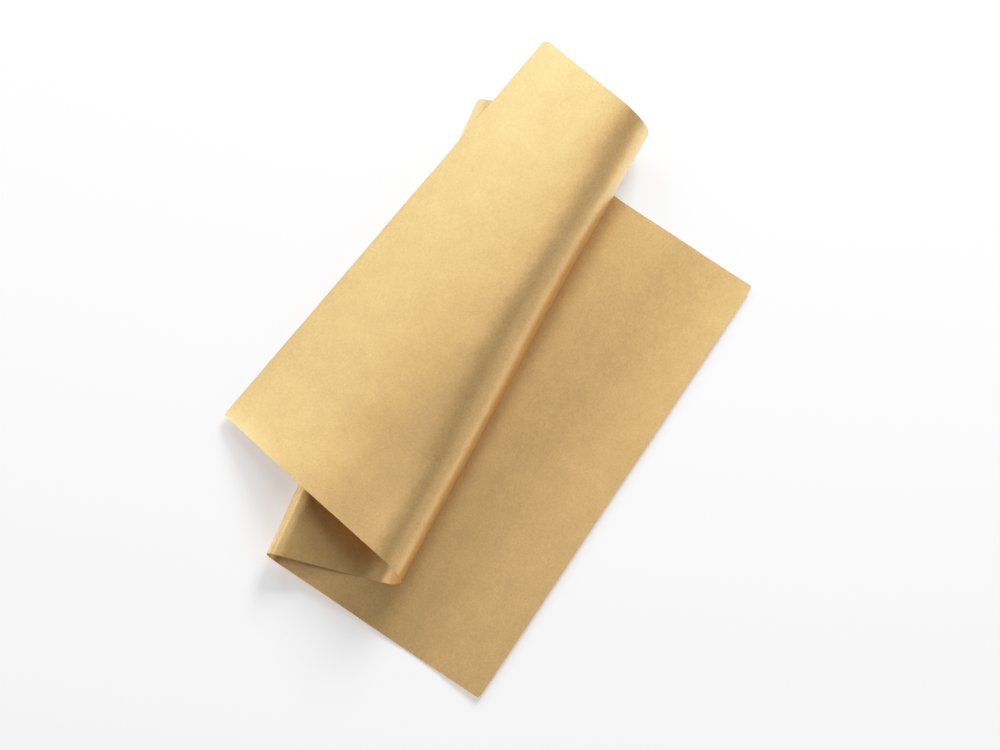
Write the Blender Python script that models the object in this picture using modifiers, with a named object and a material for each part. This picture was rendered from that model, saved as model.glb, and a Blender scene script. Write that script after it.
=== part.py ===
"""Sheet of gold wrapping paper, loosely folded in three like the letter Z and laid flat.

One rectangular sheet makes every piece. It runs from the free edge of the bottom panel, round the
loose left fold, back across the middle panel, round the loose right fold and on to the free edge
of the top panel. Paper bends but does not stretch, so the sheet is laid out flat first and then
bent along straight lines that run from one long edge to the other. A line's place is counted
along the middle of the sheet from the bottom panel's free edge, and its slant is how far it
leans away from square. Units below are millimetres and degrees; +X is right, +Y along the bottom
panel's free edge and +Z up.
"""

import bmesh
import bpy
from math import cos, pi, radians, sin, tan
from mathutils import Matrix, Vector

NAME = "folded_wrapping_paper"
MM = 0.001

# The sheet as it was cut
SHEET_LENGTH = 700.0
SHEET_WIDTH = 500.0
SHEET_THICKNESS = 0.12
FAR_EDGE_SKEW = 10.0  # one long edge is this much longer than the other
FAR_EDGE_SHORTFALL = 3.0  # the far edge is this much shorter than the near one

# Left fold: a loop that turns the paper up and over to the right
LEFT_START, LEFT_END = 272.5, 342.0
LEFT_TURN = 199.5

# Middle panel: runs down from the left fold and straightens towards the right fold
MIDDLE_TURN = -5.0

# Right fold: a larger loop that turns the paper up and over to the left
RIGHT_START, RIGHT_END = 406.5, 566.5
RIGHT_TURN = -208.0

# Top panel: droops over the left fold, down to its free edge
TOP_TURN = -6.0

# How far the bend lines lean, as (place, slant); in between it changes evenly
SLANTS = (
    (0.0, 0.0),
    (LEFT_START, 8.6),
    (LEFT_END, 10.8),
    (RIGHT_START, 13.5),
    (RIGHT_END, 14.3),
    (SHEET_LENGTH, 0.0),
)

# Bend lines in each stretch; a fold has an even number, so that none is on its hinge
LOOP_LINES = 32
MIDDLE_LINES = 8
TOP_LINES = 16

GAP = 0.3  # between one node and the next
HINGE_STANDOFF = 0.3  # a hinge's axis is this far outside the paper's outer face

GOLD = (0.66, 0.47, 0.20, 1.0)
GOLD_METALLIC = 0.75
GOLD_ROUGHNESS = 0.42


def slant_at(place):
    """Return the lean of the bend line at this place, in radians."""
    for (start, first), (end, last) in zip(SLANTS, SLANTS[1:]):
        if place <= end:
            return radians(first + (last - first) * (place - start) / (end - start))
    return radians(SLANTS[-1][1])


def bends(start, end, turn, count, peaked):
    """Return (place, angle) of the bends that share a stretch's turn.

    In a peaked stretch they fade to nothing at both ends and are sharpest in the middle.
    """
    halfway = [(k + 0.5) / count for k in range(count)]
    shares = [sin(pi * part) if peaked else 1.0 for part in halfway]
    return [
        (start + (end - start) * part, radians(turn) * share / sum(shares))
        for part, share in zip(halfway, shares)
    ]


BENDS = (
    bends(LEFT_START, LEFT_END, LEFT_TURN, LOOP_LINES, True)
    + bends(LEFT_END, RIGHT_START, MIDDLE_TURN, MIDDLE_LINES, False)
    + bends(RIGHT_START, RIGHT_END, RIGHT_TURN, LOOP_LINES, True)
    + bends(RIGHT_END, SHEET_LENGTH, TOP_TURN, TOP_LINES, True)
)


def line_direction(place):
    """Return the direction of the bend line at this place on the flat sheet."""
    slant = slant_at(place)
    return Vector((-sin(slant), cos(slant), 0.0))


def bent(place):
    """Return the matrix that carries flat paper at this place to where it lies once folded."""
    matrix = Matrix.Identity(4)
    for line, angle in BENDS:
        if line >= place:
            break
        pivot = Matrix.Translation((-line, SHEET_WIDTH / 2, 0.0))
        matrix = matrix @ pivot @ Matrix.Rotation(angle, 4, line_direction(line)) @ pivot.inverted()
    return matrix


def flat_ends(place):
    """Return the two ends of the line at this place, on the flat sheet."""
    if place >= SHEET_LENGTH:
        low, high = SHEET_LENGTH - FAR_EDGE_SKEW / 2, SHEET_LENGTH + FAR_EDGE_SKEW / 2
        inset = FAR_EDGE_SHORTFALL / 2
        return Vector((-low, inset, 0.0)), Vector((-high, SHEET_WIDTH - inset, 0.0))
    lean = tan(slant_at(place)) * SHEET_WIDTH / 2
    return Vector((lean - place, 0.0, 0.0)), Vector((-lean - place, SHEET_WIDTH, 0.0))


def folded_ends(place):
    """Return the two ends of the line at this place, on the folded sheet."""
    matrix = bent(place)
    return [matrix @ end for end in flat_ends(place)]


def sheet_centre():
    """Return the middle of the folded sheet's plan, which becomes the origin."""
    places = [0.0] + [line for line, _ in BENDS] + [SHEET_LENGTH]
    points = [end for place in places for end in folded_ends(place)]
    xs = [point.x for point in points]
    ys = [point.y for point in points]
    return Vector(((min(xs) + max(xs)) / 2, (min(ys) + max(ys)) / 2, 0.0))


CENTRE = sheet_centre()
LEFT_HINGE_PLACE = (LEFT_START + LEFT_END) / 2
RIGHT_HINGE_PLACE = (RIGHT_START + RIGHT_END) / 2


def gold_paper(name):
    """Return a satin gold paper material for one piece."""
    material = bpy.data.materials.new(name + "_gold_paper")
    material.use_nodes = True
    shader = material.node_tree.nodes["Principled BSDF"]
    shader.inputs["Base Color"].default_value = GOLD
    shader.inputs["Metallic"].default_value = GOLD_METALLIC
    shader.inputs["Roughness"].default_value = GOLD_ROUGHNESS
    material.diffuse_color = GOLD
    return material


def paper_piece(collection, name, start, end, hinge):
    """Make the stretch of sheet between two places, as a flat grid whose columns are then bent."""
    first = start + GAP / 2 if start > 0 else start
    last = end - GAP / 2 if end < SHEET_LENGTH else end
    columns = [first] + [line for line, _ in BENDS if first < line < last] + [last]
    mesh = bpy.data.meshes.new(name)
    grid = bmesh.new()
    bmesh.ops.create_grid(grid, x_segments=len(columns) - 1, y_segments=1, size=1.0)
    for vert in grid.verts:
        column = round((vert.co.x + 1.0) / 2.0 * (len(columns) - 1))
        vert.co = (folded_ends(columns[column])[vert.co.y > 0] - CENTRE) * MM
    grid.to_mesh(mesh)
    grid.free()
    mesh.materials.append(gold_paper(name))
    mesh.shade_smooth()
    piece = bpy.data.objects.new(name, mesh)
    collection.objects.link(piece)
    shell = piece.modifiers.new("paper thickness", "SOLIDIFY")
    shell.thickness = SHEET_THICKNESS * MM
    shell.offset = -1.0
    if hinge:
        piece.parent = hinge
        piece.matrix_parent_inverse = hinge.matrix_world.inverted()
    return piece


def fold_hinge(collection, name, place, outer_is_underside, parent):
    """Make the empty on a fold's outermost line, its Z axis along the line."""
    low, high = folded_ends(place)
    along = (high - low).normalized()
    across = bent(place).to_3x3() @ Vector((0.0, 0.0, 1.0))
    offset = -HINGE_STANDOFF if outer_is_underside else SHEET_THICKNESS + HINGE_STANDOFF
    point = ((low + high) / 2 + across * offset - CENTRE) * MM
    hinge = bpy.data.objects.new(name, None)
    hinge.empty_display_size = 0.05
    hinge.matrix_world = Matrix.Translation(point) @ along.to_track_quat("Z", "Y").to_matrix().to_4x4()
    collection.objects.link(hinge)
    if parent:
        hinge.parent = parent
        hinge.matrix_parent_inverse = parent.matrix_world.inverted()
    bpy.context.view_layer.update()
    return hinge


def build():
    """Clear the file and make the sheet's three leaves and two hinges."""
    for thing in list(bpy.data.objects):
        bpy.data.objects.remove(thing, do_unlink=True)
    collection = bpy.data.collections.new(NAME)
    bpy.context.scene.collection.children.link(collection)

    left_hinge = fold_hinge(collection, "left_fold_hinge", LEFT_HINGE_PLACE, True, None)
    right_hinge = fold_hinge(collection, "right_fold_hinge", RIGHT_HINGE_PLACE, False, left_hinge)

    paper_piece(collection, "bottom_panel", 0.0, LEFT_START, None)
    paper_piece(collection, "left_fold_lower", LEFT_START, LEFT_HINGE_PLACE, None)
    paper_piece(collection, "left_fold_upper", LEFT_HINGE_PLACE, LEFT_END, left_hinge)
    paper_piece(collection, "middle_panel", LEFT_END, RIGHT_START, left_hinge)
    paper_piece(collection, "right_fold_lower", RIGHT_START, RIGHT_HINGE_PLACE, left_hinge)
    paper_piece(collection, "right_fold_upper", RIGHT_HINGE_PLACE, RIGHT_END, right_hinge)
    paper_piece(collection, "top_panel", RIGHT_END, SHEET_LENGTH, right_hinge)


build()
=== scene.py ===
"""Looks of a sheet of gold wrapping paper, folded loosely in three and laid on a pale table.

The sheet is worked out flat and then bent, as its CAD is. A place is counted in millimetres along
the middle of the sheet from the bottom panel's free edge, and a flat point is (minus the distance
along the sheet, the distance across it, 0). Each of the five pieces is a closed shell as thick as
the paper. They share one flat layout, so the outline, the gentle waves and the grain all run on
unbroken from one piece to the next.
"""

from math import ceil, cos, pi, radians, sin, tan

import bpy
import numpy as np
from mathutils import Matrix, Vector, noise


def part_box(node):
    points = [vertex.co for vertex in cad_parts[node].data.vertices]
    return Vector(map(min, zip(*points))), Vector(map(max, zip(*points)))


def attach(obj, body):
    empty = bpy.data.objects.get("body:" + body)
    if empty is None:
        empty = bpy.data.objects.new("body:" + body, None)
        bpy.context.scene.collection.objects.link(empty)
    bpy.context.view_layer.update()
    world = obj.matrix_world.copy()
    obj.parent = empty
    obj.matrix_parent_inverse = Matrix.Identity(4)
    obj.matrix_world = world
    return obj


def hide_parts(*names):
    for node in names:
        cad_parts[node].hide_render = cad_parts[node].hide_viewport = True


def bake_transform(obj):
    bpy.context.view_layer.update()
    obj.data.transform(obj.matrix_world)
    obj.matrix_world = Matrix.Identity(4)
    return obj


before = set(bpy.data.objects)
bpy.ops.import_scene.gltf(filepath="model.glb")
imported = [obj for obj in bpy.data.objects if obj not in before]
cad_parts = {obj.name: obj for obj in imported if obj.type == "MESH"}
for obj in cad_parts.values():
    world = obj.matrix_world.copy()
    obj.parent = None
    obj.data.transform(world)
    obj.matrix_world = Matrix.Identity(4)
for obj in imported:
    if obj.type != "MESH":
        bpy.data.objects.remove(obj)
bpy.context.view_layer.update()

MM = 0.001

# The sheet as it was cut, as in the CAD
SHEET_LENGTH = 700.0
SHEET_WIDTH = 500.0
SHEET_THICKNESS = 0.12
FAR_EDGE_SKEW = 10.0
FAR_EDGE_SHORTFALL = 3.0

# How it is folded, as in the CAD: places in mm and turns in degrees
LEFT_START, LEFT_END, LEFT_TURN = 272.5, 342.0, 199.5
MIDDLE_TURN = -5.0
RIGHT_START, RIGHT_END, RIGHT_TURN = 406.5, 566.5, -208.0
TOP_TURN = -6.0
SLANTS = (
    (0.0, 0.0),
    (LEFT_START, 8.6),
    (LEFT_END, 10.8),
    (RIGHT_START, 13.5),
    (RIGHT_END, 14.3),
    (SHEET_LENGTH, 0.0),
)

# How finely the shells are made
LOOP_LINES = 96  # three for each of the CAD's
MIDDLE_LINES, TOP_LINES = 8, 16  # as in the CAD
WIDEST_COLUMN = 5.0  # mm
ROWS = 126  # points across the sheet

# How its edges were cut, in mm
CUT_WANDER = 0.4  # of an edge to either side, in slow bends with quick ones on them
SLOW_SPAN, QUICK_SPAN, QUICK_SHARE = 60.0, 9.0, 0.4
SLOW_SEED, QUICK_SEED = 0.5, 4.5
EDGE_SEEDS = {"near": 11.0, "far": 22.0, "first": 33.0, "last": 44.0}
CORNER_NIP = 0.8  # by which each corner is worn round

# How it strays from its neat shape, in mm: each height, then where it comes in or fades
BROAD_WAVE, BROAD_SPANS, BROAD_SEED = 1.2, (140.0, 190.0), 3.7  # waves a hand's width across
COCKLE, COCKLE_SPANS, COCKLE_SEED = 0.2, (34.0, 46.0), 8.2  # cockles two fingers' width across
ROLL_MEMORY, RIPPLE_LENGTH = 0.45, 150.0  # half height of the ripple left by the roll it came from
RIPPLE_PLACE, RIPPLE_DRIFT = 145.0, 0.175  # where it rises, and how that drifts across the sheet
RIPPLE_FADE = (190.0, 260.0)
FREE_EDGE_CURL, FREE_EDGE_REACH = 4.5, 80.0  # of the bottom panel's free edge
TOP_CORNER_CURL, TOP_CORNER_REACH = 1.2, 22.0  # of its near edge towards the top panel's corner
TOP_CORNER_RISE = (590.0, 660.0)
ROLL_CROWN = 5.5  # by which the right fold is domed over its top
CROWN_RISE, CROWN_FALL = (495.0, 556.0), (556.0, SHEET_LENGTH)
NEAR_CORNER_LIFT = 8.0  # by which the left fold's near end stands off the table
NEAR_LIFT_ALONG, NEAR_LIFT_ACROSS = (60.0, 230.0), (0.0, 170.0)  # from the free corner
SLOPE_STEP = 0.5  # over which a slope is measured

# The paper's finish
WARM_GOLD, PALE_GOLD, BARE_KRAFT = "#EFC27A", "#F2C57D", "#D8B9A0"
# Its patterns as (name, size in mm, detail, roughness, seed, what its low and high parts give).
# Clouds go from the warm gold to the pale one, mottling and flakes scale the colour, and the
# fibres give the satin's roughness. Real flakes are 0.02 mm across, drawn coarse enough to show.
PATTERNS = (
    ("clouds", 110.0, 3.0, 0.5, 1.3, 0.0, 1.0),
    ("mottling", 20.0, 2.0, 0.5, 5.7, 0.95, 1.04),
    ("fibres", 4.0, 4.0, 0.6, 2.1, 0.40, 0.50),
    ("flakes", 1.6, 1.0, 0.5, 3.9, 0.91, 1.09),
)
LOW_PART, HIGH_PART = 0.3, 0.7  # where nearly all of a noise lies
SPECK_SPACING, SPECK_SIZE, SPECK_SHADE = 14.0, 0.7, 0.72  # mm, mm, and how dark against the gold
SPECK_CORE = 0.4  # share of a speck that is as dark as that
CUT_LINE, CUT_PALENESS = 0.6, 0.5  # the bare line at a cut is 0.1 mm wide, drawn wider to show
PAPER_TOOTH, FIBRE_TOOTH = 0.05, 0.5  # height in mm, and the fibres' share against the flakes'
VARNISH_ROUGHNESS, VARNISH_IOR = 0.35, 1.7  # the IOR is typical varnish's 1.5, raised for its gloss
A_COLOUR, B_COLOUR, MIXED_COLOUR = 6, 7, 2  # a Mix node's colour sockets, which share their names

# Table, in metres: a hair below the sheet, so that they share no face
TABLE_REACH, TABLE_LEVEL = 6.0, -0.00005
TABLE_WHITE, TABLE_ROUGHNESS = "#F7F7F8", 0.7
TABLE_LIGHT, TABLE_GLOW = "#FFFFFF", 0.28

# Camera: it looks straight down on the sheet but for a small lean, and is turned on the table
LOOK_AT = Vector((0.0224, -0.0114, 0.0))
CAMERA_TURN, CAMERA_LEAN, CAMERA_SIDE_LEAN = 33.77, 7.22, 0.45  # degrees
CAMERA_DISTANCE = 3.315
CAMERA_LENS, CAMERA_SENSOR = 118.0, 36.0

# Light: soft boxes as (name, degrees off the zenith, degrees clockwise of away, watts)
BOX_SIZE, BOX_DISTANCE = 1.2, 3.0
SOFT_BOXES = (
    ("far_box", 56, 22.5, 95.0),
    ("far_left_box", 56, 337.5, 22.0),
    ("left_box", 56, 292.5, 8.5),
    ("near_left_box", 56, 247.5, 5.0),
    ("near_right_box", 56, 112.5, 3.6),
    ("near_fill_box", 56, 150, 6.0),
    ("low_right_box", 75, 105, 1.5),
    ("low_near_box", 75, 225, 8.0),
    ("low_left_box", 75, 315, 9.0),
    ("high_far_box", 36, 0, 6.6),
    ("high_right_box", 36, 90, 2.0),
    ("top_left_box", 18, 300, 2.4),
    ("top_near_box", 18, 240, 2.4),
    ("top_right_box", 18, 60, 1.6),
    ("top_box", 0, 0, 0.8),
)
ROOM_WHITE, WALL_GLOW, CEILING_GLOW = "#FAFAFC", 0.8, 0.03
WALL_TOP = (0.14, 0.24)  # where the walls give way to the ceiling, as the sine of the elevation

# Highlights: as much light as this is shown white, and (light, tone shown) on the way there
WHITE_POINT = 1.4
TONE_POINTS = ((0.45, 0.45), (0.65, 0.629), (0.85, 0.77), (1.05, 0.878), (1.25, 0.957))


# ------------------------------------------------------------------ sheet, flat and folded


def slant_at(place):
    """Return the lean of the bend line at this place, in radians."""
    for (start, first), (end, last) in zip(SLANTS, SLANTS[1:]):
        if place <= end:
            return radians(first + (last - first) * (place - start) / (end - start))
    return radians(SLANTS[-1][1])


def bends(start, end, turn, count, peaked):
    """Return (place, angle) of a stretch's bends. A peaked stretch is sharpest in its middle."""
    halfway = [(k + 0.5) / count for k in range(count)]
    shares = [sin(pi * part) if peaked else 1.0 for part in halfway]
    return [
        (start + (end - start) * part, radians(turn) * share / sum(shares))
        for part, share in zip(halfway, shares)
    ]


BENDS = (
    bends(LEFT_START, LEFT_END, LEFT_TURN, LOOP_LINES, True)
    + bends(LEFT_END, RIGHT_START, MIDDLE_TURN, MIDDLE_LINES, False)
    + bends(RIGHT_START, RIGHT_END, RIGHT_TURN, LOOP_LINES, True)
    + bends(RIGHT_END, SHEET_LENGTH, TOP_TURN, TOP_LINES, True)
)


def free_corner():
    """Return where the bottom panel's free corner lies, in millimetres in the frame."""
    low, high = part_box("bottom_panel")
    return Vector((high.x, low.y, low.z)) / MM


CORNER = free_corner()


def line_direction(place):
    """Return the direction of the bend line at this place on the flat sheet."""
    slant = slant_at(place)
    return Vector((-sin(slant), cos(slant), 0.0))


def bent(place):
    """Return the matrix that carries flat paper at this place to where it lies once folded.

    On a bend line it has half of that line's bend, so that it faces between the two sides.
    """
    matrix = Matrix.Translation(CORNER)
    for line, angle in BENDS:
        if line > place:
            break
        share = 0.5 if line == place else 1.0
        pivot = Matrix.Translation((-line, SHEET_WIDTH / 2, 0.0))
        turn = Matrix.Rotation(angle * share, 4, line_direction(line))
        matrix = matrix @ pivot @ turn @ pivot.inverted()
    return matrix


def flat_ends(place):
    """Return the two ends of the line at this place, on the flat sheet."""
    if place >= SHEET_LENGTH:
        low, high = SHEET_LENGTH - FAR_EDGE_SKEW / 2, SHEET_LENGTH + FAR_EDGE_SKEW / 2
        inset = FAR_EDGE_SHORTFALL / 2
        return Vector((-low, inset, 0.0)), Vector((-high, SHEET_WIDTH - inset, 0.0))
    lean = tan(slant_at(place)) * SHEET_WIDTH / 2
    return Vector((lean - place, 0.0, 0.0)), Vector((-lean - place, SHEET_WIDTH, 0.0))


def ease(value, start, end):
    """Return 0 before start, 1 after end and a smooth rise between them."""
    part = min(max((value - start) / (end - start), 0.0), 1.0)
    return part * part * (3 - 2 * part)


def unevenness(x, y, spans, seed):
    """Return a smooth noise about zero whose swells are as wide as these spans, in mm."""
    return noise.noise(Vector((x / spans[0], y / spans[1], seed)))


def wave(x, y):
    """Return how high the paper stands off its neat shape at a flat point, in mm."""
    along = -x
    broad = 0.5 + 0.5 * unevenness(x, y, BROAD_SPANS, BROAD_SEED)
    cockle = 0.5 + unevenness(x, y, COCKLE_SPANS, COCKLE_SEED)
    phase = 2 * pi * (along - RIPPLE_PLACE + RIPPLE_DRIFT * y) / RIPPLE_LENGTH
    ripple = (1 + sin(phase)) * (1 - ease(along, *RIPPLE_FADE))
    free_curl = max(1 - along / FREE_EDGE_REACH, 0.0) ** 2
    corner_curl = max(1 - y / TOP_CORNER_REACH, 0.0) ** 2 * ease(along, *TOP_CORNER_RISE)
    crown = ease(along, *CROWN_RISE) * (1 - ease(along, *CROWN_FALL))
    return (
        BROAD_WAVE * broad
        + COCKLE * cockle
        + ROLL_MEMORY * ripple
        + FREE_EDGE_CURL * free_curl
        + TOP_CORNER_CURL * corner_curl
        + ROLL_CROWN * crown
    )


def stand_off(x, y):
    """Return how far the left fold's raised near end lifts the paper over this spot, in mm."""
    along = ease(CORNER.x - x, *NEAR_LIFT_ALONG)
    across = 1 - ease(y - CORNER.y, *NEAR_LIFT_ACROSS)
    return NEAR_CORNER_LIFT * along * across


def slopes(height, x, y):
    """Return how steeply a height rises along x and along y."""
    step = SLOPE_STEP
    along = (height(x + step, y) - height(x - step, y)) / (2 * step)
    across = (height(x, y + step) - height(x, y - step)) / (2 * step)
    return along, across


def folded_point(matrix, flat, cut):
    """Return where a flat point lies once folded and which way it faces, with waves and all.

    The cut point is the flat one moved to the edge as it was really cut.
    """
    point = matrix @ Vector((cut.x, cut.y, wave(flat.x, flat.y)))
    along, across = slopes(wave, flat.x, flat.y)
    normal = matrix.to_3x3() @ Vector((-along, -across, 1.0))
    along, across = slopes(stand_off, point.x, point.y)
    normal -= normal.z * Vector((along, across, 0.0))
    point.z += stand_off(point.x, point.y)
    return point, normal.normalized()


def wander(distance, edge):
    """Return how far a hand-cut edge strays at this distance along it, in mm."""
    seed = EDGE_SEEDS[edge]
    slow = noise.noise(Vector((distance / SLOW_SPAN, seed, SLOW_SEED)))
    quick = noise.noise(Vector((distance / QUICK_SPAN, seed, QUICK_SEED)))
    return CUT_WANDER * (slow + QUICK_SHARE * quick)


# ------------------------------------------------------------------ shells


def columns_between(start, end):
    """Return the places of a piece's columns: its bend lines, with even steps between them."""
    lines = [start] + [line for line, _ in BENDS if start < line < end] + [end]
    places = []
    for this, following in zip(lines, lines[1:]):
        steps = ceil((following - this) / WIDEST_COLUMN)
        places += [this + (following - this) * k / steps for k in range(steps)]
    return places + [end]


def as_cut(flat, place, row):
    """Return a flat point moved to the edge as it was really cut, if it is on an edge."""
    cut = flat.copy()
    near, far = row == 0, row == ROWS - 1
    first, last = place == 0.0, place == SHEET_LENGTH
    if near or far:
        cut.y += wander(flat.x, "near" if near else "far")
    if first or last:
        cut.x += wander(flat.y, "first" if first else "last")
    if (near or far) and (first or last):
        nip_along = -CORNER_NIP if first else CORNER_NIP
        nip_across = CORNER_NIP if near else -CORNER_NIP
        cut += Vector((nip_along, nip_across, 0.0))
    return cut


def paper_grid(places):
    """Return arrays of columns by rows: flat points, underside points and normals, in mm."""
    flats, unders, normals = [], [], []
    for place in places:
        matrix = bent(place)
        low, high = flat_ends(place)
        for row in range(ROWS):
            flat = low.lerp(high, row / (ROWS - 1))
            point, normal = folded_point(matrix, flat, as_cut(flat, place, row))
            flats.append(flat)
            unders.append(point)
            normals.append(normal)
    shape = (len(places), ROWS, 3)
    return [np.array(points).reshape(shape) for points in (flats, unders, normals)]


def shell_faces(columns):
    """Return the faces of a closed shell as (top, underside, rim) arrays of corner numbers."""
    number = np.arange(columns * ROWS).reshape(columns, ROWS)
    over = columns * ROWS
    quads = np.stack([number[:-1, :-1], number[:-1, 1:], number[1:, 1:], number[1:, :-1]], axis=-1)
    under = quads.reshape(-1, 4)
    ring = np.concatenate([number[:, 0], number[-1, 1:], number[-2::-1, -1], number[0, -2::-1]])
    start, end = ring[:-1], ring[1:]
    rim = np.stack([start, start + over, end + over, end], axis=-1)
    return under + over, under[:, ::-1], rim


def face_normals(points, faces):
    """Return the normal of each four-cornered face."""
    corners = points[faces]
    normals = np.cross(corners[:, 2] - corners[:, 0], corners[:, 3] - corners[:, 1])
    return normals / np.linalg.norm(normals, axis=1, keepdims=True)


def paper_shell(name, start, end, material):
    """Make the stretch of sheet between two places a closed shell, with its flat layout as UVs."""
    places = columns_between(start, end)
    flats, unders, normals = (array.reshape(-1, 3) for array in paper_grid(places))
    points = np.concatenate([unders, unders + normals * SHEET_THICKNESS]) * MM
    top, under, rim = shell_faces(len(places))
    faces = np.concatenate([top, under, rim])

    mesh = bpy.data.meshes.new(name)
    mesh.from_pydata(points.tolist(), [], faces.tolist())
    layout = mesh.uv_layers.new(name="flat_layout")
    flat_twice = np.concatenate([flats, flats])[faces.reshape(-1)] * MM
    layout.data.foreach_set("uv", np.stack([-flat_twice[:, 0], flat_twice[:, 1]], axis=1).ravel())
    mesh.polygons.foreach_set("use_smooth", [True] * len(faces))
    count = len(unders)
    corner_normals = np.concatenate(
        [
            normals[top.reshape(-1) - count],
            -normals[under.reshape(-1)],
            np.repeat(face_normals(points, rim), 4, axis=0),
        ]
    )
    mesh.normals_split_custom_set(corner_normals.tolist())
    mesh.materials.append(material)
    mesh.validate()
    piece = bpy.data.objects.new(name, mesh)
    bpy.context.scene.collection.objects.link(piece)
    return piece


# ------------------------------------------------------------------ materials


def linear(hex_colour):
    """Turn an sRGB hex colour into linear RGBA."""
    channels = [int(hex_colour[k : k + 2], 16) / 255 for k in (1, 3, 5)]
    return [c / 12.92 if c <= 0.04045 else ((c + 0.055) / 1.055) ** 2.4 for c in channels] + [1.0]


def add_node(tree, kind, settings=None, inputs=None, output=0):
    """Add a node with its settings and its inputs, as values or links, and return an output."""
    made = tree.nodes.new("ShaderNode" + kind)
    for name, value in (settings or {}).items():
        setattr(made, name, value)
    for socket, value in (inputs or {}).items():
        if isinstance(value, bpy.types.NodeSocket):
            tree.links.new(value, made.inputs[socket])
        else:
            made.inputs[socket].default_value = value
    return made.outputs[output]


def new_material(name):
    """Return a node material with its tree and its Principled shader."""
    material = bpy.data.materials.new(name)
    material.use_nodes = True
    tree = material.node_tree
    return material, tree, tree.nodes["Principled BSDF"]


def gold_printed_kraft():
    """Kraft paper, machine-glazed, then flood-printed with gold bronze ink on both faces.

    To the eye: a satin gold with soft, wide reflections, under a clear varnish that pales it where
    the light comes in low. Up close it has a fine sparkle from the ink's flakes, faint clouds where
    the paper took more or less ink, a few dark specks of fibre, and a thin pale line where it was
    cut.
    """
    material, tree, shader = new_material("gold_printed_kraft")
    layout = add_node(tree, "UVMap", {"uv_map": "flat_layout"})
    grain, spread = {}, {}
    for name, size, detail, roughness, seed, low, high in PATTERNS:
        noisy = {"Vector": layout, "W": seed, "Scale": 1 / (size * MM)}
        noisy |= {"Detail": detail, "Roughness": roughness}
        grain[name] = add_node(tree, "TexNoise", {"noise_dimensions": "4D"}, noisy, "Fac")
        reach = {"Value": grain[name], "From Min": LOW_PART, "From Max": HIGH_PART}
        reach |= {"To Min": low, "To Max": high}
        spread[name] = add_node(tree, "MapRange", None, reach)

    # Gold, in clouds
    golds = {"Factor": spread["clouds"], A_COLOUR: linear(WARM_GOLD), B_COLOUR: linear(PALE_GOLD)}
    gold = add_node(tree, "Mix", {"data_type": "RGBA"}, golds, MIXED_COLOUR)

    # Scaled by its mottling, flakes and dark specks
    multiply = {"operation": "MULTIPLY"}
    tone = add_node(tree, "Math", multiply, {0: spread["mottling"], 1: spread["flakes"]})
    cells = {"Vector": layout, "Scale": 1 / (SPECK_SPACING * MM), "Randomness": 1.0}
    from_speck = add_node(tree, "TexVoronoi", None, cells, "Distance")
    speck_edge = SPECK_SIZE / SPECK_SPACING
    shade = {"Value": from_speck, "From Min": SPECK_CORE * speck_edge, "From Max": speck_edge}
    shade |= {"To Min": SPECK_SHADE, "To Max": 1.0}
    tone = add_node(tree, "Math", multiply, {0: tone, 1: add_node(tree, "MapRange", None, shade)})
    inked = add_node(tree, "VectorMath", {"operation": "SCALE"}, {0: gold, "Scale": tone})

    # Bare at the cut: how far the nearest edge is, with the far one a little out of square
    along = add_node(tree, "SeparateXYZ", None, {"Vector": layout}, "X")
    across = along.node.outputs["Y"]
    skew = {0: across, 1: FAR_EDGE_SKEW / SHEET_WIDTH, 2: (SHEET_LENGTH - FAR_EDGE_SKEW / 2) * MM}
    far_edge = add_node(tree, "Math", {"operation": "MULTIPLY_ADD"}, skew)
    subtract, least = {"operation": "SUBTRACT"}, {"operation": "MINIMUM"}
    to_far_side = add_node(tree, "Math", subtract, {0: SHEET_WIDTH * MM, 1: across})
    to_far_edge = add_node(tree, "Math", subtract, {0: far_edge, 1: along})
    to_side = add_node(tree, "Math", least, {0: across, 1: to_far_side})
    to_end = add_node(tree, "Math", least, {0: along, 1: to_far_edge})
    to_cut = add_node(tree, "Math", least, {0: to_side, 1: to_end})
    bare = {"Value": to_cut, "From Min": 0.5 * CUT_LINE * MM, "From Max": CUT_LINE * MM}
    bare |= {"To Min": CUT_PALENESS, "To Max": 0.0}
    cut = {"Factor": add_node(tree, "MapRange", None, bare)}
    cut |= {A_COLOUR: inked, B_COLOUR: linear(BARE_KRAFT)}
    printed = add_node(tree, "Mix", {"data_type": "RGBA"}, cut, MIXED_COLOUR)

    # A fine tooth
    rough = {0: grain["fibres"], 1: FIBRE_TOOTH, 2: grain["flakes"]}
    height = add_node(tree, "Math", {"operation": "MULTIPLY_ADD"}, rough)
    tooth = {"Strength": 1.0, "Distance": PAPER_TOOTH * MM, "Height": height}
    tree.links.new(printed, shader.inputs["Base Color"])
    tree.links.new(spread["fibres"], shader.inputs["Roughness"])
    tree.links.new(add_node(tree, "Bump", None, tooth), shader.inputs["Normal"])
    shader.inputs["Metallic"].default_value = 1.0
    shader.inputs["Coat Weight"].default_value = 1.0
    shader.inputs["Coat Roughness"].default_value = VARNISH_ROUGHNESS
    shader.inputs["Coat IOR"].default_value = VARNISH_IOR
    return material


def opal_white_table():
    """Opal acrylic, cast and satin: an even white ground, faintly lit, that takes soft shadows."""
    material, _, shader = new_material("opal_white_table")
    shader.inputs["Base Color"].default_value = linear(TABLE_WHITE)
    shader.inputs["Roughness"].default_value = TABLE_ROUGHNESS
    shader.inputs["Emission Color"].default_value = linear(TABLE_LIGHT)
    shader.inputs["Emission Strength"].default_value = TABLE_GLOW
    return material


# ------------------------------------------------------------------ pieces


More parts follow.
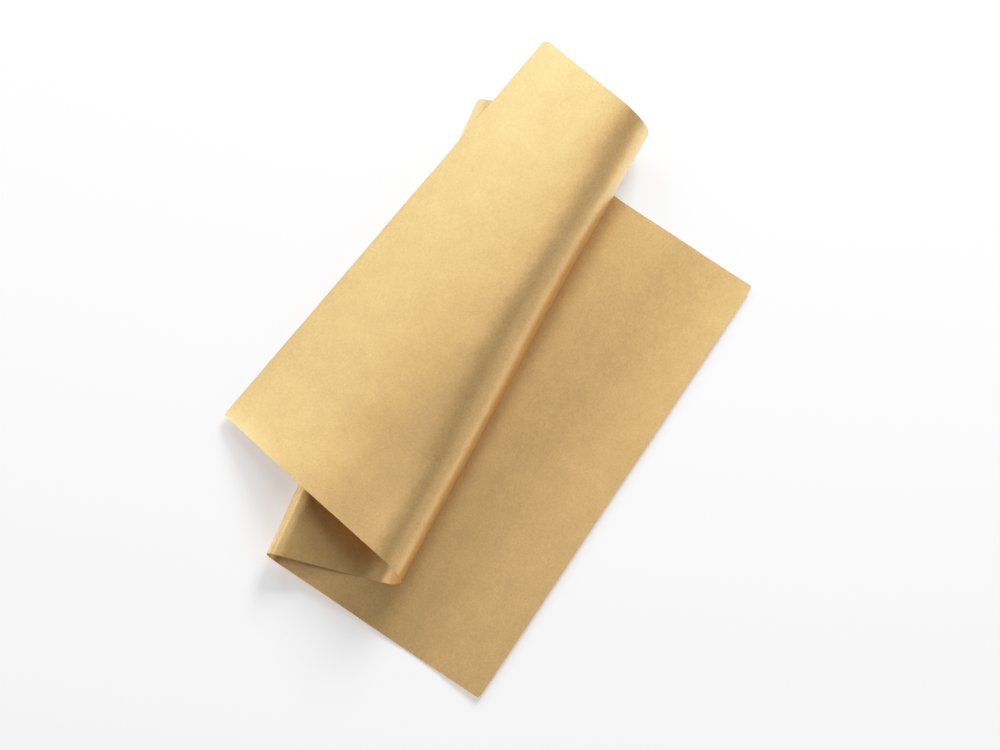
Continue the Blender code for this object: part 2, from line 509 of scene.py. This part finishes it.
def make_sheet():
    """Make the five pieces of the sheet and tie each panel to the leaf that it moves with.

    The two loops are left where they lie, tied to no leaf.
    """
    paper = gold_printed_kraft()

    bottom = paper_shell("bottom_panel_paper", 0.0, LEFT_START, paper)
    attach(bottom, "bottom_leaf")
    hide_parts("bottom_panel")

    left_loop = paper_shell("left_loop_paper", LEFT_START, LEFT_END, paper)
    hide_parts("left_fold_lower", "left_fold_upper")
    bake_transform(left_loop)

    middle = paper_shell("middle_panel_paper", LEFT_END, RIGHT_START, paper)
    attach(middle, "middle_leaf")
    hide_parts("middle_panel")

    right_loop = paper_shell("right_loop_paper", RIGHT_START, RIGHT_END, paper)
    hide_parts("right_fold_lower", "right_fold_upper")
    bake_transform(right_loop)

    top = paper_shell("top_panel_paper", RIGHT_END, SHEET_LENGTH, paper)
    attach(top, "top_leaf")
    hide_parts("top_panel")


# ------------------------------------------------------------------ studio


def make_table():
    """Make the pale table that the sheet lies on."""
    mesh = bpy.data.meshes.new("table_top")
    ways = (-1, -1), (1, -1), (1, 1), (-1, 1)
    corners = [(x * TABLE_REACH, y * TABLE_REACH, TABLE_LEVEL) for x, y in ways]
    mesh.from_pydata(corners, [], [(0, 1, 2, 3)])
    mesh.materials.append(opal_white_table())
    table = bpy.data.objects.new("table_top", mesh)
    bpy.context.scene.collection.objects.link(table)


def soft_box(name, off_zenith, heading, watts):
    """Hang a square soft box at this angle off the zenith and this heading, facing the sheet."""
    light = bpy.data.lights.new(name, "AREA")
    light.shape = "SQUARE"
    light.size = BOX_SIZE
    light.energy = watts
    turn, lean = radians(CAMERA_TURN - heading), radians(off_zenith)
    upward = Vector((-sin(turn) * sin(lean), cos(turn) * sin(lean), cos(lean)))
    box = bpy.data.objects.new(name, light)
    box.location = LOOK_AT + upward * BOX_DISTANCE
    box.rotation_euler = upward.to_track_quat("Z", "Y").to_euler()
    bpy.context.scene.collection.objects.link(box)


def make_lights():
    """Light the sheet from all round but hardly from overhead, mostly from the far side."""
    for name, off_zenith, heading, watts in SOFT_BOXES:
        soft_box(name, off_zenith, heading, watts)


def dim_room_with_pale_walls():
    """Surround the sheet with pale walls, bright to a little above the table, and a dim ceiling."""
    world = bpy.data.worlds.new("dim_room_with_pale_walls")
    world.use_nodes = True
    tree = world.node_tree
    direction = add_node(tree, "TexCoord", output="Generated")
    height = add_node(tree, "SeparateXYZ", None, {"Vector": direction}, "Z")
    dimming = {"Value": height, "From Min": WALL_TOP[0], "From Max": WALL_TOP[1]}
    dimming |= {"To Min": WALL_GLOW, "To Max": CEILING_GLOW}
    glow = add_node(tree, "MapRange", {"interpolation_type": "SMOOTHSTEP"}, dimming)
    backdrop = tree.nodes["Background"]
    backdrop.inputs["Color"].default_value = linear(ROOM_WHITE)
    tree.links.new(glow, backdrop.inputs["Strength"])
    bpy.context.scene.world = world


def soften_highlights():
    """Ease the brightest tones towards white, as a camera does, in place of cutting them off."""
    view = bpy.context.scene.view_settings
    view.view_transform = "Standard"
    view.use_curve_mapping = True
    view.curve_mapping.white_level = (WHITE_POINT, WHITE_POINT, WHITE_POINT)
    all_channels = view.curve_mapping.curves[3]
    for light, shown in TONE_POINTS:
        all_channels.points.new(light / WHITE_POINT, shown)
    view.curve_mapping.update()


def make_camera():
    """Set the camera over the sheet."""
    data = bpy.data.cameras.new("camera")
    data.lens = CAMERA_LENS
    data.sensor_width = CAMERA_SENSOR
    camera = bpy.data.objects.new("camera", data)
    camera.matrix_world = (
        Matrix.Translation(LOOK_AT)
        @ Matrix.Rotation(radians(CAMERA_TURN), 4, "Z")
        @ Matrix.Rotation(radians(CAMERA_LEAN), 4, "X")
        @ Matrix.Rotation(radians(-CAMERA_SIDE_LEAN), 4, "Y")
        @ Matrix.Translation((0.0, 0.0, CAMERA_DISTANCE))
    )
    bpy.context.scene.collection.objects.link(camera)
    bpy.context.scene.camera = camera


make_camera()
make_sheet()
make_table()
make_lights()
dim_room_with_pale_walls()
soften_highlights()
